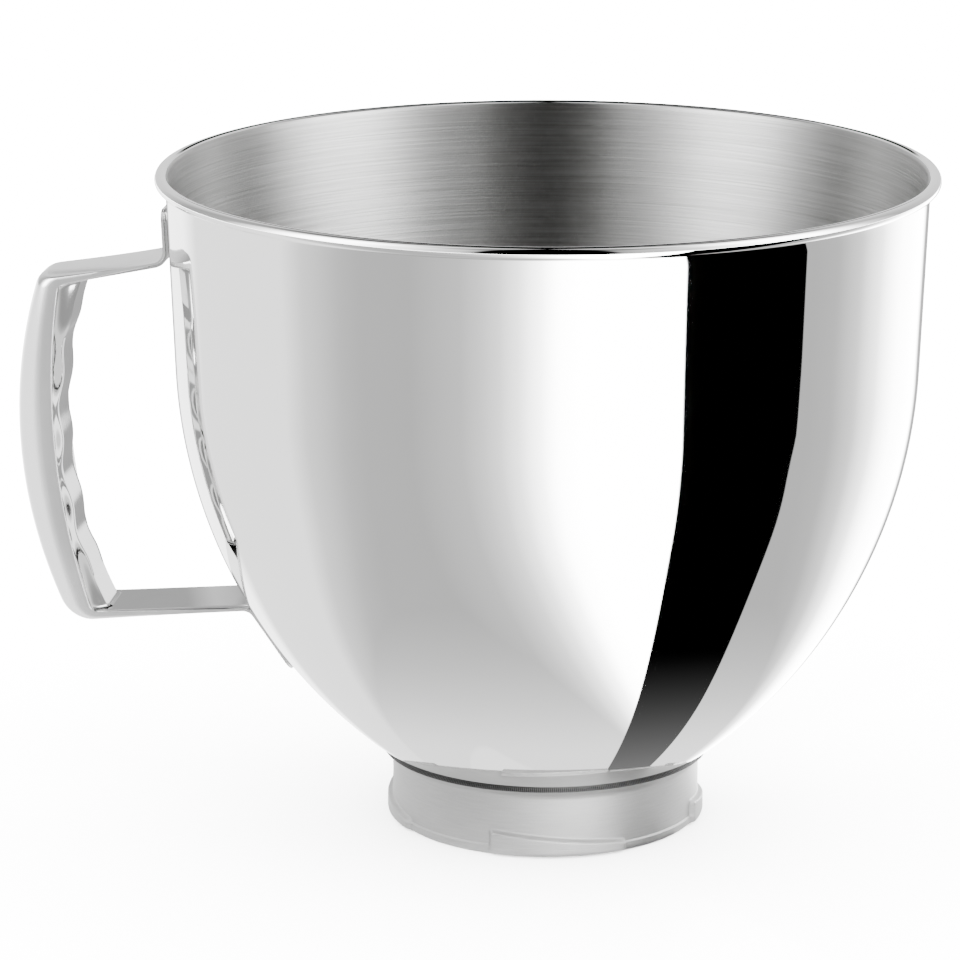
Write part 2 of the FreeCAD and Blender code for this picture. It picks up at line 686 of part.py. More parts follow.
def make_outer_shell():
    """Outer half of the handle: a channel with a round back, open to the fingers."""
    half = size("handle_width") / 2
    flat = size("back_flat") / 2
    inside = size("inside_corner_radius")
    edge_bow = (edge_centre, size("edge_radius"))
    edge_chain = handle_chain(
        handle_wall, handle_wall, size("arm_depth"), edge_bow, (inside, inside)
    )

    def back_chain(depth, inward, ease=0.0):
        """Side view of the back, depth below its outside, where it has curved in.

        ease is a little more depth at the tabs' end of the arms."""
        share = size("round_share") * inward

        def blend(outside, edge):
            return outside + (edge - outside) * share

        bow_centre = tuple(blend(a, b) for a, b in zip(grip_centre, edge_centre))
        bow_radius = blend(size("grip_back_radius"), size("edge_radius")) - depth
        corners = (
            blend(size("top_corner_radius"), inside + 1.0) - depth,
            blend(size("low_corner_radius"), inside + 1.0) - depth,
        )
        arm = depth + size("arm_round") * inward
        bow = (bow_centre, bow_radius)
        return handle_chain(depth, depth + ease, arm, bow, corners)

    def form_wire(offset, inward):
        return side_wire(back_chain(0.0, inward), edge_chain, offset)

    def cavity_wire(offset, inward):
        # from one arm to the other only, and reaching past the open edge
        chain = back_chain(handle_wall, inward, size("nest_gap"))[2:7]
        top, low = chain[0].Vertexes[0].Point, chain[-1].Vertexes[-1].Point
        inner_top = top - FreeCAD.Vector(0, 0, 2 * size("arm_depth"))
        inner_low = low + FreeCAD.Vector(0, 0, 2 * size("arm_depth"))
        chain.append(Part.LineSegment(low, inner_low).toShape())
        chain.append(Part.LineSegment(inner_low, inner_top).toShape())
        chain.append(Part.LineSegment(inner_top, top).toShape())
        wire = Part.Wire(chain)
        wire.translate(FreeCAD.Vector(0, offset, 0))
        return wire

    block = loft_across(form_wire, half, flat)
    cavity = loft_across(cavity_wire, half - handle_wall, flat)
    shell = round_tab_corners(block.cut(cavity), half)

    for line, tip, way in ((upper_tab, upper_tip, -1), (lower_tab, lower_tip, 1)):
        spot = shift(tip, line.direction, way * size("spot_inset"))
        for side in (-0.5, 0.5):
            place = FreeCAD.Vector(-spot[0], side * size("spot_spacing"), spot[1])
            into = FreeCAD.Vector(-line.inward[0], 0, line.inward[1])
            start = place - into * 2
            depth = 2 + size("spot_depth")
            dent = Part.makeCylinder(size("spot_diameter") / 2, depth, start, into)
            shell = shell.cut(dent)
    feature = doc.addObject("Part::Feature", "handle_outer_shell")
    feature.Shape = shell
    return feature


def make_inner_shell():
    """Inner half: nests in the channel and carries the raised finger grip."""
    half = size("handle_width") / 2 - handle_wall - size("nest_gap")
    corner = size("inside_corner_radius")
    recess = size("nest_recess")
    arm_end = size("arm_depth") - recess
    start = stack + size("nest_gap")

    def wire_at(offset, bow_centre, bow_radius, fingers):
        face = handle_chain(
            stack, start, arm_end, (bow_centre, bow_radius), (corner, corner), fingers
        )
        back = handle_chain(
            stack - handle_wall, start - handle_wall, arm_end - handle_wall,
            (bow_centre, bow_radius + handle_wall),
            (corner + handle_wall, corner + handle_wall), fingers,
        )
        return side_wire(back, face, offset)

    flat = size("handle_width") / 2 - size("pad_margin")
    plain = (edge_centre, size("edge_radius") + recess, 0.0)
    raised = (pad_centre, size("pad_radius"), size("finger_depth"))
    stations = [(-half, plain), (-flat, raised), (flat, raised), (half, plain)]
    wires = [wire_at(offset, *form) for offset, form in stations]
    shell = round_tab_corners(Part.makeLoft(wires, True, True), half)
    feature = doc.addObject("Part::Feature", "handle_inner_shell")
    feature.Shape = shell
    return feature


# ---------------------------------------------------------------- build and write

parts = [make_bowl_shell(), make_base_ring(), make_outer_shell(), make_inner_shell()]
for part in parts:
    part.Label = part.Name
doc.recompute()

for item in doc.Objects:
    if {"Invalid", "Error"} & set(item.State):
        raise RuntimeError(f"{item.Name} failed: {item.State}")
for part in parts:
    if part.Shape.isNull() or not part.Shape.isValid():
        raise RuntimeError(f"{part.Name} has no valid shape")

os.makedirs("parts", exist_ok=True)
for part in parts:
    part.Shape.exportStep(f"parts/{part.Label}.step")
    box = part.Shape.BoundBox
    print(part.Label, round(part.Shape.Volume), [round(v, 1) for v in
          (box.XMin, box.YMin, box.ZMin, box.XMax, box.YMax, box.ZMax)])
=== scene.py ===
import bmesh
import bpy
import cmath
import math
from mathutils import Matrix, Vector


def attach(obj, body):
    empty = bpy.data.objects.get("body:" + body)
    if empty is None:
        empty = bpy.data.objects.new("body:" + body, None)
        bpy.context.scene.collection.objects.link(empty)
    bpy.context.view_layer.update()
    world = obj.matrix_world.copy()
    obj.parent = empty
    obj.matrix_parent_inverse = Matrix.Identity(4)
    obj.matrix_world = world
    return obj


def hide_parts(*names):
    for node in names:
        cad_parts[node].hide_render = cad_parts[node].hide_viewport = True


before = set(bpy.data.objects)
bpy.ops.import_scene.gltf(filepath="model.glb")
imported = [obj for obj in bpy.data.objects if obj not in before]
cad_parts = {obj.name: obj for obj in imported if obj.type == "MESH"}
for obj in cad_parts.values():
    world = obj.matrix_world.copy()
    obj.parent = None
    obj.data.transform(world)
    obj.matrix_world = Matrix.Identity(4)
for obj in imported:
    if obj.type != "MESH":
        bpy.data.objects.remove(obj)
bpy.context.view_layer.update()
mm = 0.001
rad = math.radians


# node helpers, used by materials and by geometry trees

class Wire:
    # a socket that can be written in sums, so 1 - mask adds a Math node
    def __init__(self, tree, socket):
        self.tree, self.socket = tree, socket

    def op(self, operation, a, b=0.0, c=None):
        inputs = {0: a, 1: b} if c is None else {0: a, 1: b, 2: c}
        return self.tree.node("ShaderNodeMath", {"operation": operation}, inputs)

    def __add__(self, other): return self.op("ADD", self, other)
    def __radd__(self, other): return self.op("ADD", other, self)
    def __sub__(self, other): return self.op("SUBTRACT", self, other)
    def __rsub__(self, other): return self.op("SUBTRACT", other, self)
    def __mul__(self, other): return self.op("MULTIPLY", self, other)
    def __rmul__(self, other): return self.op("MULTIPLY", other, self)
    def __truediv__(self, other): return self.op("DIVIDE", self, other)
    def __rtruediv__(self, other): return self.op("DIVIDE", other, self)
    def sqrt(self): return self.op("SQRT", self)
    def most(self, other): return self.op("MAXIMUM", self, other)
    def softLeast(self, other, blend): return self.op("SMOOTH_MIN", self, other, blend)
    def wrap(self, high, low): return self.op("WRAP", self, high, low)

    def step(self, low, high, toLow=0.0, toHigh=1.0):
        # smooth step from low to high
        settings = {"interpolation_type": "SMOOTHSTEP"}
        return self.tree.node("ShaderNodeMapRange", settings, {
            "Value": self, "From Min": low, "From Max": high, "To Min": toLow, "To Max": toHigh})


class Nodes:
    # one node tree, of a material or of geometry
    def __init__(self, tree):
        self.tree = tree
        tree.nodes.clear()

    def node(self, kind, settings=None, inputs=None, out=0):
        made = self.tree.nodes.new(kind)
        for key, value in (settings or {}).items():
            if key == "stops":
                stops = made.color_ramp.elements
                stops.remove(stops[1])
                stops[0].position, stops[0].color = value[0][0], (*value[0][1], 1.0)
                for place, colour in value[1:]:
                    stops.new(place).color = (*colour, 1.0)
            else:
                setattr(made, key, value)
        for key, value in (inputs or {}).items():
            socket = made.inputs[key]
            if isinstance(value, Wire):
                self.tree.links.new(value.socket, socket)
            elif value is not None:
                socket.default_value = value
        self.last = made
        if not made.outputs:
            return None
        return Wire(self, made.outputs[out])

    def split(self, vector):
        # the three numbers of a vector
        self.node("ShaderNodeSeparateXYZ", None, {0: vector})
        made = self.last
        return [Wire(self, made.outputs[i]) for i in range(3)]

    def join(self, x, y, z):
        return self.node("ShaderNodeCombineXYZ", None, {0: x, 1: y, 2: z})


def makeMaterial(name, build):
    material = bpy.data.materials.new(name)
    material.use_nodes = True
    nodes = Nodes(material.node_tree)
    nodes.node("ShaderNodeOutputMaterial", None, {"Surface": build(nodes)})
    return material


def tintBetween(nodes, factor, dark, light):
    return nodes.node("ShaderNodeMix", {"data_type": "RGBA"}, {
        "Factor": factor, "A": (*dark, 1.0), "B": (*light, 1.0)}, out=2)


def metalShader(nodes, tint, rough, bump, more=None):
    return nodes.node("ShaderNodeBsdfPrincipled", None, {
        "Base Color": tint, "Metallic": 1.0, "Roughness": rough, "Normal": bump, **(more or {})})


def noiseOn(nodes, place, scale, detail):
    return nodes.node("ShaderNodeTexNoise", None, {
        "Vector": place, "Scale": scale, "Detail": detail})


mirrorSteel = {
    "dark": (0.80, 0.80, 0.795), "light": (0.84, 0.84, 0.835),
    "roughness": 0.02,
    "haze": 0.015,      # extra roughness in the cloudier patches of the polish
    "ripple": 0.0015,   # unevenness of the drawn sheet
    "cloudScale": 38.0, "waveScale": 14.0,
}


def buildMirror(nodes):
    place = nodes.node("ShaderNodeTexCoord", None, None, out=3)
    cloud = noiseOn(nodes, place, mirrorSteel["cloudScale"], 4.0)
    waves = noiseOn(nodes, place, mirrorSteel["waveScale"], 1.0)
    low = mirrorSteel["roughness"]
    rough = cloud.step(0.42, 0.75, low, low + mirrorSteel["haze"])
    bump = nodes.node("ShaderNodeBump", None, {
        "Strength": mirrorSteel["ripple"], "Distance": 0.01, "Height": waves})
    tint = tintBetween(nodes, cloud, mirrorSteel["dark"], mirrorSteel["light"])
    return metalShader(nodes, tint, rough, bump)


brushedInside = {
    "dark": (0.34, 0.34, 0.335), "light": (0.70, 0.70, 0.695),
    "roughness": 0.33, "roughSpread": 0.10,
    "lines": 1300.0,    # brush lines per metre across the brushing
    "lineTurns": 2.2,   # how often a line breaks off round the bowl
    "bands": 260.0, "bandTurns": 1.1,
    "depth": 0.40,
    "anisotropic": 1.0, "rotation": 0.25,
}


def buildBrushed(nodes):
    # the lines run round the bowl, so they follow the distance along the section
    along = nodes.node("ShaderNodeAttribute", {"attribute_name": "along"}, None, out=2)
    x, y, z = nodes.split(nodes.node("ShaderNodeTexCoord", None, None, out=3))
    turn = x.op("ARCTAN2", y, x)
    brush = brushedInside
    low = brush["roughness"]
    finePlace = nodes.join(along * brush["lines"], turn * brush["lineTurns"], 0.0)
    broadPlace = nodes.join(along * brush["bands"], turn * brush["bandTurns"], 4.0)
    fine, broad = noiseOn(nodes, finePlace, 1.0, 3.0), noiseOn(nodes, broadPlace, 1.0, 2.0)
    rough = (fine * 0.6 + broad * 0.4).step(0.3, 0.7, low, low + brush["roughSpread"])
    bump = nodes.node("ShaderNodeBump", None, {
        "Strength": brush["depth"], "Distance": 0.0004, "Height": fine * 0.7 + broad * 0.3})
    tint = tintBetween(nodes, fine, brush["dark"], brush["light"])
    return metalShader(nodes, tint, rough, bump, {
        "Anisotropic": brush["anisotropic"], "Anisotropic Rotation": brush["rotation"]})


satinSteel = {
    "dark": (0.27, 0.27, 0.268), "light": (0.38, 0.38, 0.377),
    "roughness": 0.52, "roughSpread": 0.10,
    "lines": 1800.0, "lineTurns": 6.0, "grainScale": 2600.0, "depth": 0.12,
    "seamHeight": 0.0207,   # welded seam under the bowl, darkened and dotted
    "seamSoft": 0.0002, "seamDots": 520, "seamColour": (0.01, 0.01, 0.01),
}


def buildSatin(nodes):
    satin = satinSteel
    place = nodes.node("ShaderNodeTexCoord", None, None, out=3)
    x, y, z = nodes.split(place)
    turn = x.op("ARCTAN2", y, x)
    lines = noiseOn(nodes, nodes.join(z * satin["lines"], turn * satin["lineTurns"], 0.0), 1.0, 3.0)
    grain = noiseOn(nodes, place, satin["grainScale"], 2.0)
    low = satin["roughness"]
    rough = (lines * 0.5 + grain * 0.5).step(0.3, 0.7, low, low + satin["roughSpread"])
    bump = nodes.node("ShaderNodeBump", None, {
        "Strength": satin["depth"], "Distance": 0.0003, "Height": grain * 0.5 + lines * 0.5})
    tint = tintBetween(nodes, lines, satin["dark"], satin["light"])
    seam = z.step(satin["seamHeight"] - satin["seamSoft"], satin["seamHeight"] + satin["seamSoft"])
    dots = turn.op("SINE", turn * satin["seamDots"]).step(-0.6, 0.8, 0.85, 1.0)
    colour = nodes.node("ShaderNodeMix", {"data_type": "RGBA"}, {
        "Factor": seam * dots, "A": tint, "B": (*satin["seamColour"], 1.0)}, out=2)
    return metalShader(nodes, colour, rough, bump)


# the strap's soft back, and the brighter polish on its finger side
softStrap = {
    "roughness": 0.20, "haze": 0.08, "grain": 0.05,
    "dark": (0.80, 0.80, 0.80), "light": (0.86, 0.86, 0.86),
}
polishedStrap = {
    "roughness": 0.05, "haze": 0.04, "grain": 0.02,
    "dark": (0.50, 0.50, 0.50), "light": (0.62, 0.62, 0.62),
}


def buildStrap(values):
    def build(nodes):
        place = nodes.node("ShaderNodeTexCoord", None, None, out=3)
        x, y, z = nodes.split(place)
        lines = noiseOn(nodes, nodes.join(x * 300.0, y * 2400.0, z * 60.0), 1.0, 3.0)
        cloud = noiseOn(nodes, place, 60.0, 3.0)
        low = values["roughness"]
        rough = (cloud * 0.6 + lines * 0.4).step(0.35, 0.7, low, low + values["haze"])
        bump = nodes.node("ShaderNodeBump", None, {
            "Strength": values["grain"], "Distance": 0.0003, "Height": lines})
        tint = tintBetween(nodes, cloud, values["dark"], values["light"])
        return metalShader(nodes, tint, rough, bump)
    return build


mirrorFinish = makeMaterial("mirrorFinish", buildMirror)
brushedFinish = makeMaterial("brushedFinish", buildBrushed)
satinFinish = makeMaterial("satinFinish", buildSatin)
softFinish = makeMaterial("softStrap", buildStrap(softStrap))
strapFinish = makeMaterial("polishedStrap", buildStrap(polishedStrap))
print("finishes made")


# sections are chains of points (r, z) in millimetres, written as complex numbers

def arcPoints(centre, radius, start, end, count):
    # angles in degrees; end below start runs clockwise
    return [centre + radius * cmath.exp(1j * rad(start + (end - start) * i / count))
            for i in range(count + 1)]


def linePoints(start, end, count):
    return [start + (end - start) * i / count for i in range(count + 1)]


def joinPoints(*runs):
    # one chain without doubled points
    chain = list(runs[0])
    for run in runs[1:]:
        chain += [p for i, p in enumerate(run) if i or abs(p - chain[-1]) > 1e-4]
    return chain


hub = 10.0    # radius in millimetres of the circle that sections are turned on


def curveFrom(name, points, closed):
    # poly curve for a section, measured from the hub's circle
    data = bpy.data.curves.new(name, "CURVE")
    data.dimensions = "3D"
    spline = data.splines.new("POLY")
    spline.points.add(len(points) - 1)
    for target, point in zip(spline.points, points):
        target.co = ((point.real - hub) * mm, -point.imag * mm, 0.0, 1.0)
    spline.use_cyclic_u = closed
    made = bpy.data.objects.new(name, data)
    bpy.context.collection.objects.link(made)
    return made


bowlSize = {
    "bottom": 9.4, "wall": 0.8, "dimpleRadius": 13.0, "dimpleHeight": 3.4, "bottomFlat": 2.9,
    "tight": 46.0, "tightTurn": 33.86, "curve": 150.0, "draft": 2.2, "wallHeight": 56.095,
    "bead": 1.9, "curlGap": 65.0, "stepsRound": 300,
    "mirrorBead": 26,   # points of the rim bead that keep the outside's mirror finish
}
wallLean = rad(bowlSize["draft"])
tightCentre = complex(bowlSize["dimpleRadius"] + bowlSize["bottomFlat"],
                      bowlSize["bottom"] + bowlSize["tight"])
lean = 90 - bowlSize["tightTurn"]
bigCentre = tightCentre - (bowlSize["curve"] - bowlSize["tight"]) * cmath.exp(-1j * rad(lean))
wallStart = bigCentre + bowlSize["curve"] * cmath.exp(-1j * wallLean)
curl = bowlSize["bead"] - bowlSize["wall"]
beadCentre = complex(
    wallStart.real + bowlSize["wallHeight"] * math.tan(wallLean) + curl / math.cos(wallLean),
    wallStart.imag + bowlSize["wallHeight"])


def bowlSection():
    # outside from the axis up to the curl, then back down the inside
    wall, draft = bowlSize["wall"], bowlSize["draft"]
    slope = 2 * math.degrees(math.atan(bowlSize["dimpleHeight"] / bowlSize["dimpleRadius"]))
    bow = bowlSize["dimpleRadius"] / math.sin(rad(slope)) / 2
    crown = complex(0, bowlSize["bottom"] + bowlSize["dimpleHeight"] - bow)
    dip = complex(bowlSize["dimpleRadius"], bowlSize["bottom"] + bow)
    sideways = cmath.exp(1j * rad(180 - draft))
    outside = joinPoints(
        arcPoints(crown, bow, 90, 90 - slope, 8),
        arcPoints(dip, bow, 270 - slope, 270, 6),
        arcPoints(tightCentre, bowlSize["tight"], -90, -lean, 20),
        arcPoints(bigCentre, bowlSize["curve"], -lean, -draft, 60),
        linePoints(wallStart, beadCentre + curl * sideways, 12),
        arcPoints(beadCentre, curl, 180 - draft, -180 + bowlSize["curlGap"], 14))
    inside = joinPoints(
        arcPoints(beadCentre, bowlSize["bead"], -180 + bowlSize["curlGap"], 180 - draft, 30),
        linePoints(beadCentre + bowlSize["bead"] * sideways,
                   bigCentre + (bowlSize["curve"] - wall) * cmath.exp(-1j * rad(draft)), 14),
        arcPoints(bigCentre, bowlSize["curve"] - wall, -draft, -lean, 60),
        arcPoints(tightCentre, bowlSize["tight"] - wall, -lean, -90, 20),
        arcPoints(dip, bow - wall, 270, 270 - slope, 10),
        arcPoints(crown, bow + wall, 90 - slope, 90, 12))
    return outside, inside


def groupInput(tree, name, kind, value):
    socket = tree.interface.new_socket(name, in_out="INPUT", socket_type=kind)
    socket.default_value = value


def turnedTree(name, finishes, firstInside=0, shape=None, extra=()):
    # geometry tree that turns a section round Z; a second finish starts at point firstInside
    # shape: function that moves the turned points; extra: more named inputs
    tree = bpy.data.node_groups.new(name, "GeometryNodeTree")
    tree.interface.new_socket("Geometry", in_out="INPUT", socket_type="NodeSocketGeometry")
    tree.interface.new_socket("Geometry", in_out="OUTPUT", socket_type="NodeSocketGeometry")
    groupInput(tree, "Steps round", "NodeSocketInt", 64)
    for label, value in extra:
        groupInput(tree, label, "NodeSocketFloat", value)
    nodes = Nodes(tree)
    nodes.node("NodeGroupInput")
    given = {s.name: Wire(nodes, s) for s in nodes.last.outputs if s.name}
    circle = nodes.node("GeometryNodeCurvePrimitiveCircle", None, {
        "Resolution": given["Steps round"], "Radius": hub * mm})
    length = nodes.node("GeometryNodeSplineParameter", None, None, out=1)
    section = nodes.node("GeometryNodeStoreNamedAttribute", {"domain": "POINT"}, {
        "Geometry": given["Geometry"], "Name": "along", "Value": length})
    if len(finishes) > 1:
        number = nodes.node("GeometryNodeInputIndex")
        isInside = nodes.node("FunctionNodeCompare", {
            "data_type": "INT", "operation": "GREATER_EQUAL"}, {2: number, 3: firstInside})
        section = nodes.node("GeometryNodeStoreNamedAttribute", {"data_type": "BOOLEAN"}, {
            "Geometry": section, "Name": "inside", "Value": isInside})
    turned = nodes.node("GeometryNodeCurveToMesh", None, {"Curve": circle, "Profile Curve": section})
    turned = nodes.node("GeometryNodeMergeByDistance", None, {"Geometry": turned, "Distance": 1e-5})
    if shape:
        turned = shape(nodes, given, turned)
    angle = nodes.node("GeometryNodeInputMeshEdgeAngle")
    turned = nodes.node("GeometryNodeSetShadeSmooth", {"domain": "FACE"}, {"Geometry": turned})
    turned = nodes.node("GeometryNodeSetShadeSmooth", {"domain": "EDGE"}, {
        "Geometry": turned, "Shade Smooth": angle.op("LESS_THAN", angle, rad(40))})
    turned = nodes.node("GeometryNodeRealizeInstances", None, {"Geometry": turned})
    turned = nodes.node("GeometryNodeSetMaterial", None, {
        "Geometry": turned, "Material": finishes[0]})
    if len(finishes) > 1:
        flag = nodes.node("GeometryNodeInputNamedAttribute", {"data_type": "BOOLEAN"},
                          {"Name": "inside"})
        turned = nodes.node("GeometryNodeSetMaterial", None, {
            "Geometry": turned, "Selection": flag, "Material": finishes[1]})
    nodes.node("NodeGroupOutput", None, {0: turned})
    return tree


def facesOutward(mesh, seenFrom):
    # true when the face nearest to a point outside the piece looks towards it
    nearest = min(mesh.polygons, key=lambda p: (p.center - Vector(seenFrom)).length_squared)
    return nearest.normal.dot(Vector(seenFrom) - nearest.center) > 0


def finish(piece, node, seenFrom):
    if not facesOutward(piece.data, seenFrom):
        piece.data.flip_normals()
    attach(piece, "root")
    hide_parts(node)
    print(piece.name, "made:", len(piece.data.polygons), "faces")


def turnedPiece(name, points, closed, tree, values):
    # runs the tree on the section and keeps a plain mesh
    section = curveFrom(name + "Section", points, closed)
    live = section.modifiers.new("turn", "NODES")
    live.node_group = tree
    for socket in tree.interface.items_tree:
        if socket.item_type == "SOCKET" and socket.in_out == "INPUT" and socket.name in values:
            live[socket.identifier] = values[socket.name]
    graph = bpy.context.evaluated_depsgraph_get()
    mesh = bpy.data.meshes.new_from_object(section.evaluated_get(graph), depsgraph=graph)
    made = bpy.data.objects.new(name, mesh)
    bpy.context.collection.objects.link(made)
    bpy.data.objects.remove(section)
    return made


outsidePoints, insidePoints = bowlSection()
bowlTree = turnedTree("turnBowl", [mirrorFinish, brushedFinish],
                      len(outsidePoints) + bowlSize["mirrorBead"])
bowl = turnedPiece("mixingBowl", joinPoints(outsidePoints, insidePoints), False, bowlTree,
                   {"Steps round": bowlSize["stepsRound"]})
finish(bowl, "bowl_shell", (0.3, 0.0, 0.15))


footSize = {
    "radius": 45.3, "wall": 0.9, "lip": 5.0, "bend": 1.8, "bandTop": 2.8, "bandStep": 0.45,
    "flare": 2.4, "flangeReach": 2.3, "weldGap": 0.02, "stepsRound": 720,
    "rampReach": 1.6, "rampBase": 0.5, "rampHigh": 8.3, "rampLow": 4.3, "rampSpan": 52.0,
    "rampPhase": -79.0, "rampCount": 4, "rampBevel": 1.3,
}


def footSection(size):
    wall, out, bend = size["wall"], size["radius"], size["bend"]
    band = out + size["bandStep"]
    shoulder = size["bandTop"] + size["bandStep"]
    reach = bowlSize["curve"] + size["weldGap"]
    seatLean = math.degrees(math.acos((out + size["flangeReach"] - bigCentre.real) / reach))
    across = cmath.exp(-1j * rad(seatLean))
    along = across * 1j
    tip = bigCentre + reach * across
    inner = size["flare"] + wall
    start = tip - along * ((tip.real - (out + size["flare"] - inner * across.real)) / along.real)
    centre = complex(out + size["flare"], start.imag + inner * across.imag)
    lipIn = band - bend - size["lip"]
    rampTop = size["rampHigh"] + 0.9
    return joinPoints(
        linePoints(complex(lipIn, 0), complex(band - bend, 0), 3),
        arcPoints(complex(band - bend, bend), bend, -90, 0, 8),
        linePoints(complex(band, bend), complex(band, size["bandTop"]), 5),
        linePoints(complex(band, size["bandTop"]), complex(out, shoulder), 3),
        linePoints(complex(out, shoulder), complex(out, rampTop), 34),
        linePoints(complex(out, rampTop), complex(out, centre.imag), 4),
        arcPoints(centre, size["flare"], 180, 180 - seatLean, 8),
        linePoints(start + wall * across, tip + wall * across, 2),
        linePoints(tip + wall * across, tip, 1),
        linePoints(tip, start, 2),
        arcPoints(centre, inner, 180 - seatLean, 180, 6),
        linePoints(complex(out - wall, centre.imag), complex(out - wall, rampTop), 2),
        linePoints(complex(out - wall, rampTop), complex(out - wall, shoulder), 14),
        linePoints(complex(out - wall, shoulder), complex(band - wall, size["bandTop"]), 1),
        linePoints(complex(band - wall, size["bandTop"]), complex(band - wall, bend), 2),
        arcPoints(complex(band - bend, bend), bend - wall, 0, -90, 4),
        linePoints(complex(band - bend, wall), complex(lipIn, wall), 2))


def pressRamps(nodes, given, turned):
    # presses the sheet outwards inside each ramp's outline, which slopes along the foot
    x, y, z = nodes.split(nodes.node("GeometryNodeInputPosition"))
    reach = (x * x + y * y).sqrt()
    turn = x.op("ARCTAN2", y, x) - rad(footSize["rampPhase"])
    apart = math.pi / footSize["rampCount"]
    local = turn.wrap(apart, -apart)
    half = given["Ramp span"] * rad(0.5)
    share = (local + half) / (half * 2)
    top = given["Ramp high"] + (given["Ramp low"] - given["Ramp high"]) * share
    side = (half - local.op("ABSOLUTE", local)) * footSize["radius"] * mm
    bevel = given["Bevel"]
    base = (z - footSize["rampBase"] * mm) * 2.0
    mask = side.softLeast(top - z, bevel * 1.2).softLeast(base, bevel * 0.6).step(0.0, bevel)
    band = z.step(footSize["bandTop"] * mm, (footSize["bandTop"] + footSize["bandStep"]) * mm,
                  footSize["bandStep"] * mm, 0.0)
    push = mask * (given["Ramp reach"] - band) / reach
    offset = nodes.join(x * push, y * push, 0.0)
    return nodes.node("GeometryNodeSetPosition", None, {"Geometry": turned, "Offset": offset})


rampInputs = {
    "Ramp reach": footSize["rampReach"] * mm, "Ramp high": footSize["rampHigh"] * mm,
    "Ramp low": footSize["rampLow"] * mm, "Ramp span": footSize["rampSpan"],
    "Bevel": footSize["rampBevel"] * mm,
}
footTree = turnedTree("turnFoot", [satinFinish], shape=pressRamps, extra=rampInputs.items())
foot = turnedPiece("footRing", footSection(footSize), True, footTree, {
    "Steps round": footSize["stepsRound"], **rampInputs})
finish(foot, "base_ring", (0.3, 0.0, 0.012))


strapSize = {
    "width": 24.0, "wall": 0.8, "tabTop": 181.0, "tabCorner": 3.0, "tabBend": 3.5,
    "upperArm": 162.9, "upperSlope": 7.2, "lowerArm": 56.4, "lowerSlope": 6.8,
    "lowerTabLean": 34.5, "lowerTabLength": 15.0,
    "gripReach": 156.038, "gripBack": 137.0, "gripMiddle": 116.55,
    "edgeReach": 144.44, "edgeRadius": 209.5, "edgeMiddle": 125.05,
    "topCorner": 4.5, "lowCorner": 10.0, "insideCorner": 2.5,
    "roundShare": 0.72, "backFlat": 6.0, "armRound": 2.4, "armDepth": 4.9,
    "nestGap": 0.1, "nestRecess": 0.3, "weldGap": 0.02,
    "padWidth": 14.8, "padReach": 143.04, "padRadius": 128.0,
    "fingerCount": 4, "fingerPitch": 19.2, "fingerDepth": 1.1, "fingerFade": 8.0,
    "fingerMiddle": 110.45,
    "edgeRounding": 0.22,
}
stack = 2 * strapSize["wall"] + strapSize["weldGap"]


# each line is (point, way) and runs from the upper tab's end to the lower tab's end,
# so the fingers are always on its right

def deeper(line, depth):
    return (line[0] - 1j * line[1] * depth, line[1])


def meet(first, second):
    turned = second[1].conjugate()
    share = ((second[0] - first[0]) * turned).imag / (first[1] * turned).imag
    return first[0] + first[1] * share


def nearest(line, point):
    return line[0] + line[1] * ((point - line[0]) * line[1].conjugate()).real


def between(start, end, share):
    return start + (end - start) * share


upTheWall = (strapSize["upperArm"] - wallStart.imag) / math.cos(wallLean)
wallFoot = wallStart + cmath.rect(upTheWall, rad(90 - bowlSize["draft"]))
armMiddle = (wallStart.real + strapSize["gripReach"]) / 2
seat = -stack - strapSize["weldGap"]
upperTab = deeper((wallFoot, cmath.rect(1, rad(-90 - bowlSize["draft"]))), seat)
upperArm = (complex(armMiddle, strapSize["upperArm"]),
            cmath.rect(1, rad(-strapSize["upperSlope"])))
lowerArm = (complex(armMiddle, strapSize["lowerArm"]),
            -cmath.rect(1, rad(-strapSize["lowerSlope"])))
touching = bigCentre + cmath.rect(bowlSize["curve"], rad(-strapSize["lowerTabLean"]))
lowerTab = deeper((touching, cmath.rect(1, rad(-90 - strapSize["lowerTabLean"]))), seat)
upToTip = (strapSize["tabTop"] - upperTab[0].imag) / upperTab[1].imag
upperTip = upperTab[0] + upperTab[1] * upToTip
lowerTip = lowerTab[0] + lowerTab[1] * strapSize["lowerTabLength"]
upperBend = meet(upperTab, upperArm) + upperArm[1] * 2 * strapSize["tabBend"]
lowerBend = meet(lowerTab, lowerArm) - lowerArm[1] * 2 * strapSize["tabBend"]


def bowOf(reach, radius, middle):
    # arc of a side view, as its centre and radius
    return (complex(strapSize[reach] - strapSize[radius], strapSize[middle]), strapSize[radius])


gripBow = bowOf("gripReach", "gripBack", "gripMiddle")
edgeBow = bowOf("edgeReach", "edgeRadius", "edgeMiddle")
padBow = bowOf("padReach", "padRadius", "gripMiddle")


def slanted(base, start, startDepth, end, endDepth):
    # line whose depth below a base line changes from start to end
    first = nearest(deeper(base, startDepth), start)
    last = nearest(deeper(base, endDepth), end)
    way = (last - first) / abs(last - first)
    return (first, way if (way * base[1].conjugate()).real > 0 else -way)


def arcBetween(centre, start, end, count):
    sweep = cmath.phase((end - centre) / (start - centre))
    return [centre + (start - centre) * cmath.exp(1j * sweep * i / count) for i in range(count + 1)]


def tabPoints(tip, bend):
    # close together along the rounded corner at the tip
    length = abs(bend - tip)
    places = [0.0, 0.12, 0.4, 0.85, 1.45, 2.15, strapSize["tabCorner"]]
    places += [between(strapSize["tabCorner"], length, i / 6) for i in range(1, 7)]
    return [between(tip, bend, p / length) for p in places]


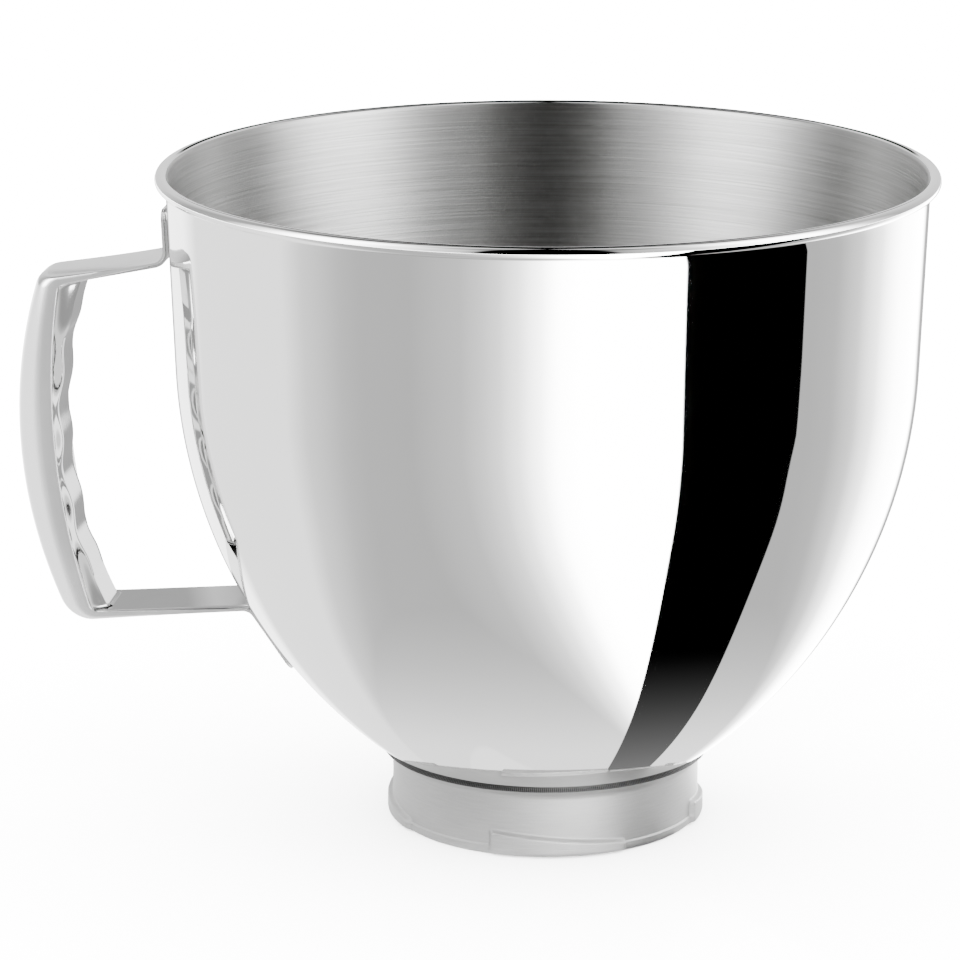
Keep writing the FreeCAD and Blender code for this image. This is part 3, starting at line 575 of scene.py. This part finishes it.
def sideView(tabDepth, armStart, armEnd, bow, corners, fingers=0.0):
    # points of one side view of the handle, always the same number of them
    bowCentre, bowRadius = bow
    tabA, tabB = deeper(upperTab, tabDepth), deeper(lowerTab, tabDepth)
    topEnd = complex(strapSize["gripReach"], strapSize["upperArm"])
    lowEnd = complex(strapSize["gripReach"], strapSize["lowerArm"])
    armA = slanted(upperArm, upperBend, armStart, topEnd, armEnd)
    armB = slanted(lowerArm, lowEnd, armEnd, lowerBend, armStart)
    bend = strapSize["tabBend"] + tabDepth
    # c1 to c4 are the centres of the four bends, p3 to p6 where the middle two start and end
    c1 = meet(deeper(tabA, -bend), deeper(armA, -bend))
    c4 = meet(deeper(tabB, -bend), deeper(armB, -bend))

    def corner(arm, radius, ahead):
        inner = deeper(arm, radius)
        base = nearest(inner, bowCentre)
        step = math.sqrt((bowRadius - radius) ** 2 - abs(base - bowCentre) ** 2)
        centre = base + inner[1] * step * ahead
        out = (centre - bowCentre) / abs(centre - bowCentre)
        return centre, nearest(arm, centre), bowCentre + out * bowRadius

    c2, p3, p4 = corner(armA, corners[0], 1)
    c3, p6, p5 = corner(armB, corners[1], -1)
    grip = arcBetween(bowCentre, p4, p5, 96)
    fingersReach = strapSize["fingerCount"] * strapSize["fingerPitch"] * 0.55
    for i, p in enumerate(grip):
        off = p.imag - strapSize["fingerMiddle"]
        fade = min(1.0, max(0.0, (fingersReach - abs(off)) / strapSize["fingerFade"]))
        wave = -math.cos(2 * math.pi * off / strapSize["fingerPitch"])
        grip[i] = p + (p - bowCentre) / bowRadius * wave * fade * fingers / 2
    return joinPoints(
        tabPoints(nearest(tabA, upperTip), nearest(tabA, c1)),
        arcBetween(c1, nearest(tabA, c1), nearest(armA, c1), 10),
        linePoints(nearest(armA, c1), p3, 14),
        arcBetween(c2, p3, p4, 12),
        grip,
        arcBetween(c3, p5, p6, 12),
        linePoints(p6, nearest(armB, c4), 14),
        arcBetween(c4, nearest(armB, c4), nearest(tabB, c4), 10),
        tabPoints(nearest(tabB, lowerTip), nearest(tabB, c4))[::-1])


def strapPiece(name, rows, half, finishUsed):
    # rows: [(y, points)] all round the sheet's cross-section, so the piece is closed
    count = len(rows[0][1])
    radius = strapSize["tabCorner"]
    verts = []
    for y, points in rows:
        for i, p in enumerate(points):
            tip = points[0] if i < count / 2 else points[-1]
            left = max(0.0, radius - abs(p - tip))
            narrow = (half - radius + math.sqrt(radius ** 2 - left ** 2)) / half
            verts.append((-p.real * mm, y * narrow * mm, p.imag * mm))
    faces = []
    for row in range(len(rows)):
        nextRow = (row + 1) % len(rows)
        faces += [(row * count + i, row * count + i + 1,
                   nextRow * count + i + 1, nextRow * count + i) for i in range(count - 1)]
    # the two ends, closed between the facing rows
    for row in range(len(rows) // 2):
        facing = len(rows) - 1 - row
        if row + 1 < facing:
            for end in (0, count - 1):
                ring = [row * count + end, (row + 1) * count + end,
                        (facing - 1) * count + end, facing * count + end]
                faces.append(ring if end else ring[::-1])
    mesh = bpy.data.meshes.new(name)
    mesh.from_pydata(verts, [], faces)
    work = bmesh.new()
    work.from_mesh(mesh)
    bmesh.ops.remove_doubles(work, verts=work.verts, dist=2e-6)
    bmesh.ops.dissolve_degenerate(work, edges=work.edges, dist=1e-6)
    bmesh.ops.recalc_face_normals(work, faces=work.faces)
    for face in work.faces:
        face.smooth = True
    for edge in work.edges:
        edge.smooth = len(edge.link_faces) != 2 or edge.calc_face_angle() < rad(40)
    work.to_mesh(mesh)
    work.free()
    mesh.materials.append(finishUsed)
    made = bpy.data.objects.new(name, mesh)
    bpy.context.collection.objects.link(made)
    return made


def makeOuterShell():
    half, flat, wall = strapSize["width"] / 2, strapSize["backFlat"] / 2, strapSize["wall"]
    inside = strapSize["insideCorner"]

    def view(depth, inward, sink):
        # inward 0 on the level back, 1 at its side; sink 0 to 1 goes on down to the open edge
        share = strapSize["roundShare"] * inward
        bow = [between(a, c, share) for a, c in zip(gripBow, edgeBow)]
        bow = [between(a, c, sink) for a, c in zip((bow[0], bow[1] - depth), edgeBow)]
        corners = [between(between(strapSize[k], inside + 1, share) - depth, inside, sink)
                   for k in ("topCorner", "lowCorner")]
        arm = between(depth + strapSize["armRound"] * inward, strapSize["armDepth"], sink)
        return sideView(between(depth, wall, sink), between(depth, wall, sink), arm, bow, corners)

    def surface(depth):
        reach = half - depth
        bulge = strapSize["edgeRounding"] * (1 if depth else -1)
        side = [(reach + bulge * k, view(depth, 1.0, s))
                for k, s in ((1, 1.0), (0.3, 0.977), (0, 0.92), (0, 0.66), (0, 0.33))]
        turn = [(flat + (reach - flat) * math.sin(rad(a)), view(depth, 1 - math.cos(rad(a)), 0.0))
                for a in range(90, -1, -9)]
        level = [(flat * k, view(depth, 0.0, 0.0)) for k in (0.5, 0.0)]
        right = side + turn + level
        return right + [(-y, points) for y, points in reversed(right[:-1])]

    return strapPiece("handleOuter", surface(0.0) + surface(wall)[::-1], half, softFinish)


def makeInnerShell():
    half = strapSize["width"] / 2 - strapSize["wall"] - strapSize["nestGap"]
    flat, wall = strapSize["padWidth"] / 2, strapSize["wall"]
    plain = (edgeBow[0], edgeBow[1] + strapSize["nestRecess"])
    corner = strapSize["insideCorner"]
    armStart = stack + strapSize["nestGap"]
    armEnd = strapSize["armDepth"] - strapSize["nestRecess"]

    def view(lift, back):
        # lift 0 at the shell's edge, 1 on the finger grip; back is the wall's thickness or 0
        centre, radius = [between(a, c, lift) for a, c in zip(plain, padBow)]
        return sideView(stack - back, armStart - back, armEnd - back, (centre, radius + back),
                        (corner + back, corner + back), strapSize["fingerDepth"] * lift)

    def surface(back):
        inwards = strapSize["edgeRounding"] * (-1 if back else 1)
        rim = [(half - strapSize["edgeRounding"] * k, 0.0, back + inwards * d)
               for k, d in ((0, 1), (0.08, 0.6), (0.3, 0.3), (0.6, 0.08), (1, 0))]
        shares = [k / 10 for k in range(1, 11)]
        slope = [(between(half, flat, k), between(k, k * k * (3 - 2 * k), 0.35), back) for k in shares]
        right = rim + slope + [(flat * k, 1.0, back) for k in (0.8, 0.5, 0.25, 0.0)]
        places = right + [(-y, lift, deep) for y, lift, deep in reversed(right[:-1])]
        return [(y, view(lift, deep)) for y, lift, deep in places]

    return strapPiece("handleInner", surface(wall) + surface(0.0)[::-1], half, strapFinish)


finish(makeOuterShell(), "handle_outer_shell", (-0.3, 0.0, 0.12))
finish(makeInnerShell(), "handle_inner_shell", (-0.12, 0.0, 0.1))


studio = {
    "floorSize": 6.0,
    "skyStrength": 20.0,
    "screenRadius": 0.30,    # curved screen round the bowl, seen only in reflections
    "screenHeight": 0.16,
    "screenCurve": 0.10,
    "domeRadius": 2.0,
    "cameraPolar": -84.0,
    # the screen's pattern slides round by so many degrees nearer to the foot
    "slide": 3.6, "slideRises": (-55, -20), "slideFalls": (50, 45),
    "footGlow": (1.0, 15.0, 0.7, 2.1),
    # black flag right of the camera, its edges near the bowl and far off
    "flagNear": (30.5, 58.0), "flagFar": (33.8, 67.0), "flagReach": (0.09, 0.28),
    "flagLean": (0.03, 0.1, 2.2), "flagSoft": 0.4, "flagFade": (0.125, 0.085, 0.28),
    "overhead": 0.2, "overheadHeight": (1.85, 1.3),
    "darkBehind": (160, 165), "darkHeight": (0.75, 0.9),
    # (degrees round the bowl from the camera, brightness), at most 32 in a ramp
    "brightest": 20.0,
    "screen": [
        (-176, 3.5), (-173, 0.02), (-160, 0.02), (-155, 1.4), (-151, 0.15), (-146, 0.15),
        (-142, 5), (-122, 5), (-112, 2.45), (-72, 2.4), (-65, 1.5), (-53, 0.92), (-47, 0.8),
        (-34, 0.77), (-21, 1.04), (-16, 1.4), (-11.5, 1.96), (-6.4, 3.6), (-1.5, 8), (3, 17),
        (8, 20), (50, 20), (51, 0.78), (72, 0.78), (81, 0.88), (91, 1.6), (101, 4.2),
        (115, 15), (134, 20), (140, 0.8), (160, 0.8), (167, 3.5)],
    "dome": [
        (-180, 1.6), (-150, 1.4), (-125, 0.6), (-104, 0.7), (-87, 4), (-72, 14), (-58, 13),
        (-45, 4.5), (-33, 2.0), (-25, 1.5), (-21, 0.8), (-19, 0.0), (19, 0.0), (21, 0.6),
        (26, 1.0), (32, 1.2), (44, 2.0), (51, 4.5), (64, 14), (80, 15), (90, 8), (103, 2),
        (118, 0.8), (150, 1.4), (180, 1.6)],
}


def stageMesh(name, verts, faces, material):
    mesh = bpy.data.meshes.new(name)
    mesh.from_pydata(verts, [], faces)
    made = bpy.data.objects.new(name, mesh)
    bpy.context.collection.objects.link(made)
    mesh.materials.append(material)
    return made


def buildFloor(nodes):
    place = nodes.node("ShaderNodeTexCoord", None, None, out=3)
    grain = noiseOn(nodes, place, 3.0, 2.0)
    tint = tintBetween(nodes, grain, (0.92, 0.92, 0.92), (0.94, 0.94, 0.94))
    return nodes.node("ShaderNodeBsdfPrincipled", None, {"Base Color": tint, "Roughness": 0.9})


wide = studio["floorSize"]
stageMesh("studioFloor", [(x * wide, y * wide, 0) for x, y in ((-1, -1), (1, -1), (1, 1), (-1, 1))],
          [(0, 1, 2, 3)], makeMaterial("floorPaper", buildFloor))

world = bpy.data.worlds.new("studioSky")
bpy.context.scene.world = world
world.use_nodes = True
sky = Nodes(world.node_tree)
sky.node("ShaderNodeOutputWorld", None, {"Surface": sky.node(
    "ShaderNodeBackground", None, {"Color": (1, 1, 1, 1), "Strength": studio["skyStrength"]})})


def aroundBowl(nodes):
    # angle round the bowl from the camera, and the place it is worked out from
    x, y, z = nodes.split(nodes.node("ShaderNodeTexCoord", None, None, out=3))
    turn = (x.op("ARCTAN2", y, x) - rad(studio["cameraPolar"])).wrap(math.pi, -math.pi)
    return turn, (x * x + y * y).sqrt(), z


def brightnessAt(nodes, turn, stops):
    top = studio["brightest"]
    return top * nodes.node("ShaderNodeValToRGB", {"stops": [
        ((angle + 180) / 360, (level / top,) * 3) for angle, level in stops]},
        {"Fac": turn / (2 * math.pi) + 0.5})


def buildScreen(nodes):
    turn, reach, z = aroundBowl(nodes)
    # nearer to the foot the pattern slides round and evens out to a light grey
    closeness = 1 / reach.most(0.02) - 1 / studio["screenRadius"]
    rises, falls = [turn.step(rad(low), rad(high))
                    for low, high in (studio["slideRises"], studio["slideFalls"])]
    slide = closeness * rad(studio["slide"]) * rises * falls
    level = brightnessAt(nodes, turn - slide, studio["screen"])
    level = level.most(closeness.step(*studio["footGlow"]))
    far = reach.step(*studio["flagReach"])
    left, right = [far * rad(away - near) + rad(near)
                   for near, away in zip(studio["flagNear"], studio["flagFar"])]
    start, end, leanBy = studio["flagLean"]
    right = right + z.step(start, end, 0.0, rad(leanBy))
    soft = rad(studio["flagSoft"])
    black = (turn - left).step(0.0, soft) * (right - turn).step(0.0, soft)
    edge, width, glow = studio["flagFade"]
    faded = ((edge - reach) / width).most(0.0)
    level = level * (1 - black) + black * faded * faded * glow
    return nodes.node("ShaderNodeEmission", None, {"Color": level, "Strength": 1.0})


def buildDome(nodes):
    turn, reach, z = aroundBowl(nodes)
    level = brightnessAt(nodes, turn, studio["dome"])
    level = level * z.step(*studio["overheadHeight"], studio["overhead"], 1.0)
    start, end = studio["darkBehind"]
    behind = turn.op("ABSOLUTE", turn).step(rad(start), rad(end)) * z.step(*studio["darkHeight"])
    return nodes.node("ShaderNodeEmission", None, {"Color": level * (1 - behind), "Strength": 1.0})


def turnedScreen(name, profile, material):
    # a screen that only reflections see
    steps = 96
    ring = [cmath.exp(2j * math.pi * i / steps) for i in range(steps)]
    verts = [(radius * p.real, radius * p.imag, height) for radius, height in profile for p in ring]
    faces = []
    for row in range(len(profile) - 1):
        low, high = row * steps, (row + 1) * steps
        faces += [(low + i, low + (i + 1) % steps, high + (i + 1) % steps, high + i)
                  for i in range(steps)]
    made = stageMesh(name, verts, faces, material)
    made.visible_camera = made.visible_diffuse = made.visible_shadow = False
    return made


outer, bendRadius = studio["screenRadius"], studio["screenCurve"]
overFloor = 0.0003    # the screen lies just above the floor
cove = [(outer + bendRadius * (math.sin(rad(a)) - 1), overFloor + bendRadius * (1 - math.cos(rad(a))))
        for a in range(10, 91, 10)]
turnedScreen("curvedScreen", [(0.001, overFloor), (outer - bendRadius, overFloor)] + cove
             + [(outer, studio["screenHeight"])], makeMaterial("screenGlow", buildScreen))
domeReach = studio["domeRadius"]
arch = [(domeReach * math.cos(rad(a)), domeReach * math.sin(rad(a))) for a in range(6, 90, 6)]
turnedScreen("domeScreen", [(domeReach, -0.01)] + arch + [(0.001, domeReach)],
             makeMaterial("domeGlow", buildDome))


photoView = {
    "place": (0.13635, -1.2973, 0.4447),
    "aim": (-0.0196, 0.0, 0.1004),
    "lens": 172.7,
}
camera = bpy.data.objects.new("photoCamera", bpy.data.cameras.new("photoCamera"))
bpy.context.collection.objects.link(camera)
camera.location = photoView["place"]
towards = Vector(photoView["aim"]) - camera.location
camera.rotation_euler = towards.to_track_quat("-Z", "Y").to_euler()
camera.data.lens = photoView["lens"]
camera.data.sensor_width = 36.0
camera.data.clip_start, camera.data.clip_end = 0.05, 50.0
bpy.context.scene.camera = camera
print("studio made")
